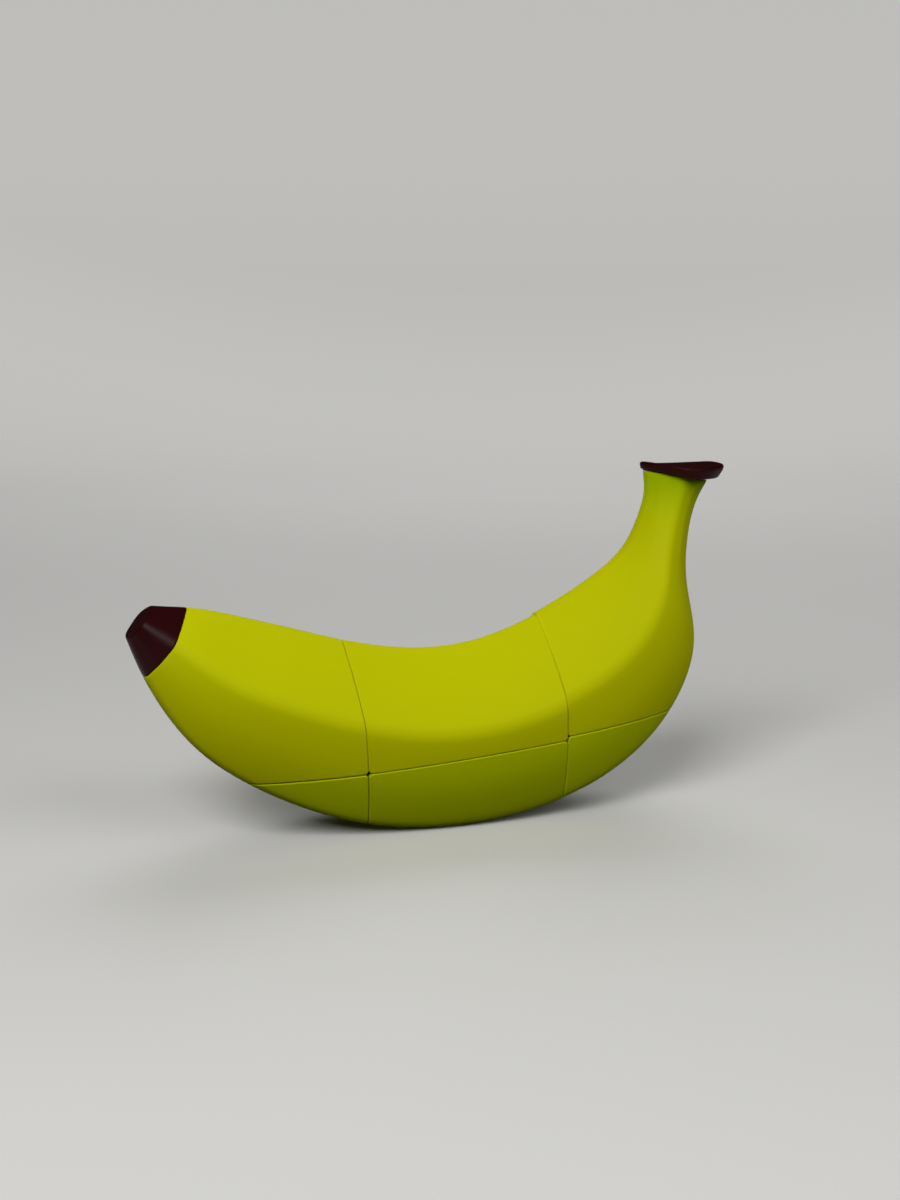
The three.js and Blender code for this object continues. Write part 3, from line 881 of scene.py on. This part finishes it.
def screw_tree(sizes):
    """A pan-head screw: a threaded shank and a domed head with a cross recess."""
    tree, given = sized_tree("Pan-head screw", sizes)
    follows = {}
    for name, (size, share) in SCREW_SHARES.items():
        times = add(tree, "ShaderNodeMath", {"operation": "MULTIPLY"}, {0: given[size], 1: share})
        follows[name] = times.outputs[0]

    shank = add(
        tree,
        "GeometryNodeMeshCylinder",
        inputs={"Vertices": 24, "Radius": follows["root radius"], "Depth": given["Shank Length"]},
    )
    turns = add(
        tree,
        "ShaderNodeMath",
        {"operation": "DIVIDE"},
        {0: follows["threaded length"], 1: given["Thread Pitch"]},
    )
    helix = add(
        tree,
        "GeometryNodeCurveSpiral",
        inputs={
            "Resolution": 24,
            "Rotations": turns.outputs[0],
            "Start Radius": follows["root radius"],
            "End Radius": follows["root radius"],
            "Height": follows["threaded length"],
        },
    )
    ridge = add(
        tree,
        "GeometryNodeCurvePrimitiveCircle",
        inputs={"Resolution": 3, "Radius": follows["thread radius"]},
    )
    thread = add(
        tree,
        "GeometryNodeCurveToMesh",
        inputs={"Curve": helix.outputs[0], "Profile Curve": ridge.outputs[0], "Fill Caps": True},
    )

    # The head's upper face falls off towards its rim.
    head = add(
        tree,
        "GeometryNodeMeshCylinder",
        inputs={
            "Vertices": 40,
            "Side Segments": 1,
            "Fill Segments": 6,
            "Radius": given["Head Radius"],
            "Depth": given["Head Height"],
        },
    )
    position = add(tree, "GeometryNodeInputPosition")
    place = add(tree, "ShaderNodeSeparateXYZ", inputs={0: position.outputs[0]})
    flat = add(tree, "ShaderNodeCombineXYZ", inputs={"X": place.outputs["X"], "Y": place.outputs["Y"]})
    out = add(tree, "ShaderNodeVectorMath", {"operation": "LENGTH"}, {0: flat.outputs[0]})
    drop = out.outputs["Value"]
    for operation, by in (
        ("DIVIDE", given["Head Radius"]),
        ("POWER", DOME_POWER),
        ("MULTIPLY", follows["dome drop"]),
    ):
        drop = add(tree, "ShaderNodeMath", {"operation": operation}, {0: drop, 1: by}).outputs[0]
    upper = add(
        tree,
        "FunctionNodeCompare",
        {"data_type": "FLOAT", "operation": "GREATER_THAN"},
        {0: place.outputs["Z"], 1: 0.0},
    )
    sunk = add(tree, "ShaderNodeCombineXYZ", inputs={"Z": drop})
    dome = add(
        tree,
        "GeometryNodeSetPosition",
        inputs={
            "Geometry": head.outputs["Mesh"],
            "Selection": upper.outputs["Result"],
            "Offset": sunk.outputs[0],
        },
    )

    # Two crossing bars cut the recess.
    bars = []
    for long_axis, short_axis in ("XY", "YX"):
        size = add(
            tree,
            "ShaderNodeCombineXYZ",
            inputs={
                long_axis: given["Recess Length"],
                short_axis: given["Recess Width"],
                "Z": follows["bar height"],
            },
        )
        bars.append(add(tree, "GeometryNodeMeshCube", inputs={"Size": size.outputs[0]}).outputs["Mesh"])
    cut = add(
        tree,
        "GeometryNodeMeshBoolean",
        {"operation": "DIFFERENCE", "solver": "EXACT"},
        {"Mesh 1": dome.outputs[0]},
    )
    whole = add(tree, "GeometryNodeJoinGeometry")
    head_middle = add(
        tree,
        "ShaderNodeMath",
        {"operation": "ADD"},
        {0: given["Shank Length"], 1: follows["half head"]},
    )
    for mesh, height, taker in (
        (bars[0], follows["half head"], cut.inputs["Mesh 2"]),
        (bars[1], follows["half head"], cut.inputs["Mesh 2"]),
        (shank.outputs["Mesh"], follows["half shank"], whole.inputs["Geometry"]),
        (thread.outputs[0], 0.0, whole.inputs["Geometry"]),
        (cut.outputs["Mesh"], head_middle.outputs[0], whole.inputs["Geometry"]),
    ):
        lift = add(tree, "ShaderNodeCombineXYZ", inputs={"Z": height})
        placed = add(
            tree, "GeometryNodeTransform", inputs={"Geometry": mesh, "Translation": lift.outputs[0]}
        )
        tree.links.new(placed.outputs[0], taker)
    on_every_arm(tree, given, whole.outputs[0])
    return tree


def run_tree(name, tree, start, sizes, material):
    """Runs a tree on a point on each arm of the core, and keeps its result as a plain mesh object."""
    seed = bpy.data.meshes.new(f"{name}_points")
    seed.from_pydata([Vector(direction) * start for direction in ARMS.values()], [], [])
    holder = add_object(f"{name}_points", seed)
    modifier = holder.modifiers.new(tree.name, "NODES")
    modifier.node_group = tree
    values = {**sizes, "Material": material}
    for item in tree.interface.items_tree:
        if item.name in values:
            modifier[item.identifier] = values[item.name]
    evaluated = holder.evaluated_get(bpy.context.evaluated_depsgraph_get())
    mesh = bpy.data.meshes.new_from_object(evaluated)
    bpy.data.objects.remove(holder)
    mesh.name = name
    mesh.transform(MECHANISM)
    return add_object(name, mesh)


def make_springs(settings):
    """Six compression springs under the screws' heads."""
    sizes = settings.hardware
    start, end = SPRING_SEAT + END_TURN, HEAD_START - END_TURN
    given = {
        "Coil Radius": sizes.coil_radius,
        "Wire Radius": sizes.wire_radius,
        "Turns": sizes.coil_turns,
        "Length": end - start,
    }
    steel_wire = drawn_spring_steel(settings.colours)
    springs = run_tree("springs", spring_tree(given), start, given, steel_wire)
    finish_piece(springs, "middle_layer", [f"spring_{arm}" for arm in ARMS])


def make_screws(settings):
    """Six screws from the centres into the core."""
    sizes = settings.hardware
    given = {
        "Head Radius": sizes.head_radius,
        "Head Height": sizes.head_height,
        "Shank Radius": sizes.shank_radius,
        "Shank Length": HEAD_START - SHANK_START,
        "Thread Pitch": sizes.thread_pitch,
        "Recess Length": sizes.recess_length,
        "Recess Width": sizes.recess_width,
        "Recess Depth": sizes.recess_depth,
    }
    screws = run_tree("screws", screw_tree(given), SHANK_START, given, zinc_plate(settings.colours))
    screws.data.set_sharp_from_angle(angle=math.radians(SCREW_SMOOTH_UP_TO))
    finish_piece(screws, "middle_layer", [f"screw_{arm}" for arm in ARMS])


# The studio -----------------

LOOK_AT = (3.9, 0, 62.8)
VIEW = {"azimuth": -16.3, "elevation": 12.1, "distance": 420}
LENS = 45
LIGHT_DISTANCE = 900
# The paper's profile from the middle outwards: a flat floor that curves up into a low wall.
FLOOR_RADIUS = 800
FLOOR_MARGIN = 30  # how much of the flat belongs to the wall's sheet
SWEEP_RADIUS = 600
SWEEP_STEPS = 12
WALL_HEIGHT = 1300
ROUND_STEPS = 96
GLOW_FROM = 200  # from the middle to where the paper begins to glow


def direction(azimuth, elevation):
    """From the object towards an azimuth and elevation, azimuth 0 being the front and -90 the left."""
    turn, tilt = math.radians(azimuth), math.radians(elevation)
    return Vector((math.sin(turn) * math.cos(tilt), -math.cos(turn) * math.cos(tilt), math.sin(tilt)))


def place_facing(obj, azimuth, elevation, distance):
    """Stands an object off the point that the camera looks at, with its -Z towards it."""
    towards = direction(azimuth, elevation)
    obj.location = Vector(LOOK_AT) * MM + towards * distance * MM
    obj.rotation_euler = (-towards).to_track_quat("-Z", "Y").to_euler()


def add_camera():
    """A short tele lens at a low angle from the front, a little to the left."""
    data = bpy.data.cameras.new("Camera")
    data.lens = LENS
    data.clip_start = 0.01
    camera = add_object("Camera", data)
    place_facing(camera, **VIEW)
    bpy.context.scene.camera = camera


def add_soft_box(name, power, width, azimuth, elevation):
    """A square area light that faces what the camera looks at. No camera sees it."""
    data = bpy.data.lights.new(name, "AREA")
    data.energy = power
    data.size = width * MM
    light = add_object(name, data)
    light.visible_camera = False
    place_facing(light, azimuth, elevation, LIGHT_DISTANCE)
    return light


def add_paper(colour, glow):
    """A round sheet of matte paper that sweeps up all round, so that it has no edge in any view.

    It glows of itself, as painted light, more and more away from its middle, which keeps it pale where
    the soft boxes don't reach.
    """
    material, tree, place = new_material("Matte paper")
    fibres = add(
        tree,
        "ShaderNodeTexNoise",
        inputs={"Vector": place, "Scale": 1 / (FIBRE_WIDTH * MM), "Detail": 4},
    )
    radius = add(tree, "ShaderNodeVectorMath", {"operation": "LENGTH"}, {"Vector": place})
    # Painted light: the paper glows, from nothing near its middle up to the glow at its edge.
    painted_glow_fade = add(
        tree,
        "ShaderNodeMapRange",
        {"interpolation_type": "SMOOTHSTEP"},
        {
            "Value": radius.outputs["Value"],
            "From Min": GLOW_FROM * MM,
            "From Max": (FLOOR_RADIUS + SWEEP_RADIUS) * MM,
            "To Max": glow,
        },
    )
    inputs = {
        "Base Color": colour,
        "Emission Color": colour,
        "Emission Strength": painted_glow_fade.outputs["Result"],
        "Roughness": 0.9,
        "Specular IOR Level": 0.0,
    }
    lay_surface(tree, inputs, fibres.outputs["Fac"], strength=0.1, depth=0.05)

    turns = np.radians(np.linspace(0, 90, SWEEP_STEPS + 1))
    sweep = [
        (FLOOR_RADIUS + SWEEP_RADIUS * math.sin(turn), SWEEP_RADIUS * (1 - math.cos(turn)))
        for turn in turns
    ]
    start, top = (FLOOR_RADIUS - FLOOR_MARGIN, 0), (FLOOR_RADIUS + SWEEP_RADIUS, WALL_HEIGHT)
    floor = add_turned_sheet("paper_floor", [(0, 0), start], material)
    wall = add_turned_sheet("paper_wall", [start, *sweep, top], material)
    floor.visible_diffuse = wall.visible_diffuse = False  # as if black cards kept its light off
    wall.visible_glossy = False  # and off the end faces, which would mirror it


def add_turned_sheet(name, profile, material):
    """A stage sheet turned round Z from (radius, height) points."""
    mesh = bmesh.new()
    chain = [mesh.verts.new((radius * MM, 0, height * MM)) for radius, height in profile]
    links = [mesh.edges.new(pair) for pair in zip(chain, chain[1:])]
    bmesh.ops.spin(
        mesh,
        geom=[*chain, *links],
        cent=(0, 0, 0),
        axis=(0, 0, 1),
        angle=math.tau,
        steps=ROUND_STEPS,
        use_merge=True,
    )
    bmesh.ops.remove_doubles(mesh, verts=mesh.verts, dist=0.01 * MM)
    bmesh.ops.recalc_face_normals(mesh, faces=mesh.faces)
    data = bpy.data.meshes.new(name)
    mesh.to_mesh(data)
    mesh.free()
    data.materials.append(material)
    data.shade_smooth()
    sheet = add_object(name, data)
    return sheet


def add_sky(strength):
    """An even grey light from all round."""
    world = bpy.data.worlds.new("Studio")
    world.use_nodes = True
    background = world.node_tree.nodes["Background"]
    background.inputs["Color"].default_value = linear("f4f5f7")
    background.inputs["Strength"].default_value = strength
    bpy.context.scene.world = world


def make_studio(settings):
    """Pale paper, three soft boxes, a little even light and the camera."""
    light = settings.light
    add_camera()
    add_paper(settings.colours.paper, light.paper_glow)
    add_sky(light.sky)
    add_soft_box("Key", light.key_power, width=450, azimuth=-38, elevation=41)
    add_soft_box("Fill", light.fill_power, width=600, azimuth=40, elevation=33)
    back = add_soft_box("Back", light.back_power, width=700, azimuth=160, elevation=45)
    back.visible_glossy = False  # the cap's top would mirror it
    bpy.context.scene.view_settings.view_transform = "Standard"


# The add-on -----------------


class PUZZLE_OT_skins(Operator):
    """Make the twelve yellow skins, rounded along their seams and at their corners"""

    bl_idname = "banana_puzzle.skins"
    bl_label = "Skins"

    def execute(self, context):
        make_skins(context.scene.banana_puzzle)
        return {"FINISHED"}


class PUZZLE_OT_tip(Operator):
    """Make the two halves of the dark tip"""

    bl_idname = "banana_puzzle.tip"
    bl_label = "Tip"

    def execute(self, context):
        make_tip(context.scene.banana_puzzle)
        return {"FINISHED"}


class PUZZLE_OT_stem_cap(Operator):
    """Make the two halves of the dark plate on the stem"""

    bl_idname = "banana_puzzle.stem_cap"
    bl_label = "Stem Cap"

    def execute(self, context):
        make_stem_cap(context.scene.banana_puzzle)
        return {"FINISHED"}


class PUZZLE_OT_mechanism(Operator):
    """Give the trays, hidden edges, centres and core their black nylon"""

    bl_idname = "banana_puzzle.mechanism"
    bl_label = "Trays and Mechanism"

    def execute(self, context):
        dress_mechanism(context.scene.banana_puzzle)
        return {"FINISHED"}


class PUZZLE_OT_screws(Operator):
    """Make the six screws that hold the centres to the core"""

    bl_idname = "banana_puzzle.screws"
    bl_label = "Screws"

    def execute(self, context):
        make_screws(context.scene.banana_puzzle)
        return {"FINISHED"}


class PUZZLE_OT_springs(Operator):
    """Make the six springs under the screws' heads"""

    bl_idname = "banana_puzzle.springs"
    bl_label = "Springs"

    def execute(self, context):
        make_springs(context.scene.banana_puzzle)
        return {"FINISHED"}


class PUZZLE_OT_studio(Operator):
    """Set up the paper floor, the soft boxes and the camera"""

    bl_idname = "banana_puzzle.studio"
    bl_label = "Studio"

    def execute(self, context):
        make_studio(context.scene.banana_puzzle)
        return {"FINISHED"}


OPERATORS = (
    PUZZLE_OT_skins,
    PUZZLE_OT_tip,
    PUZZLE_OT_stem_cap,
    PUZZLE_OT_mechanism,
    PUZZLE_OT_screws,
    PUZZLE_OT_springs,
    PUZZLE_OT_studio,
)


class PUZZLE_PT_sidebar(Panel):
    """The puzzle's settings, and a button for each group of pieces"""

    bl_label = "Banana Twist Puzzle"
    bl_space_type = "VIEW_3D"
    bl_region_type = "UI"
    bl_category = "Puzzle"

    def draw(self, context):
        settings = context.scene.banana_puzzle
        for group in (settings.skin, settings.hardware, settings.colours, settings.light):
            box = self.layout.box()
            for name in group.__annotations__:
                box.prop(group, name)
        for operator in OPERATORS:
            self.layout.operator(operator.bl_idname)


GROUPS = (SkinSizes, HardwareSizes, FinishColours, StudioLight, PuzzleSettings)
CLASSES = (*GROUPS, *OPERATORS, PUZZLE_PT_sidebar)


def register():
    for each in CLASSES:
        bpy.utils.register_class(each)
    bpy.types.Scene.banana_puzzle = PointerProperty(type=PuzzleSettings)


def unregister():
    del bpy.types.Scene.banana_puzzle
    for each in reversed(CLASSES):
        bpy.utils.unregister_class(each)


def main():
    register()
    bpy.ops.banana_puzzle.skins()
    bpy.ops.banana_puzzle.tip()
    bpy.ops.banana_puzzle.stem_cap()
    bpy.ops.banana_puzzle.mechanism()
    bpy.ops.banana_puzzle.screws()
    bpy.ops.banana_puzzle.springs()
    bpy.ops.banana_puzzle.studio()


if __name__ == "__main__":
    main()
